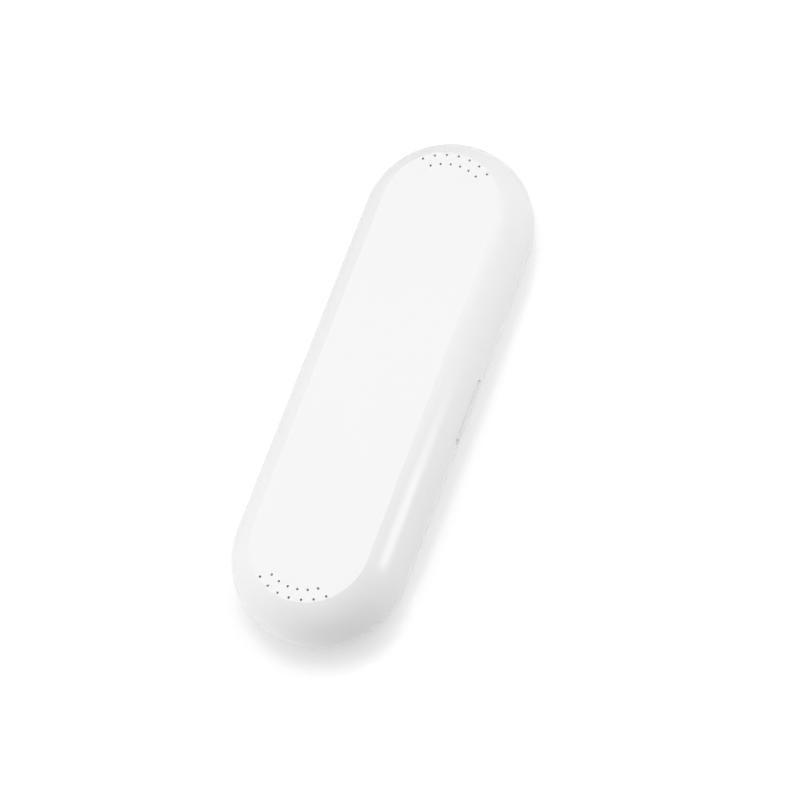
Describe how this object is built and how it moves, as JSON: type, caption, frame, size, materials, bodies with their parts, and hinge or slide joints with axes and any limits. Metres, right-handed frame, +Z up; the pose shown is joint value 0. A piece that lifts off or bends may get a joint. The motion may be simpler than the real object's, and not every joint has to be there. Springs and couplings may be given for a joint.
{
  "type": "toothbrush travel case",
  "caption": "Rounded hinged hard case with vented lid that holds an electric toothbrush handle and brush heads for travel.",
  "frame": {"origin": "middle of the flat underside that the case rests on", "axes": "+X along the length of the case, +Y towards the hinge side, +Z up through the lid"},
  "size_m": [0.213, 0.0704, 0.039],
  "materials": {
    "shell_white": "glossy moulded white",
    "tray_grey": "fine matt moulded",
    "soft_grey": "matt silicone",
    "magnet_nickel": "bright nickel plate",
    "steel": "drawn wire and turned screws"
  },
  "bodies": {
    "base": {"base_shell": "shell_white", "base_tray": "tray_grey", "hinge_pin_left": "steel", "hinge_pin_right": "steel", "base_magnet_left": "magnet_nickel", "base_magnet_right": "magnet_nickel", "closing_buffer_left": "soft_grey", "closing_buffer_right": "soft_grey", "handle_pad_left": "soft_grey", "handle_pad_right": "soft_grey", "head_pad_left": "soft_grey", "head_pad_right": "soft_grey", "tray_screw_left": "steel", "tray_screw_right": "steel", "tray_screw_front": "steel"},
    "lid": {"lid_shell": "shell_white", "lid_magnet_left": "magnet_nickel", "lid_magnet_right": "magnet_nickel", "handle_cushion_left": "soft_grey", "handle_cushion_right": "soft_grey", "head_cushion_left": "soft_grey", "head_cushion_right": "soft_grey"}
  },
  "joints": [
    {"name": "lid_hinge", "type": "hinge", "parent": "base", "child": "lid", "pos_m": [0, 0.034, 0.0195], "axis": [-1, 0, 0], "range_deg": [0, 180]}
  ]
}
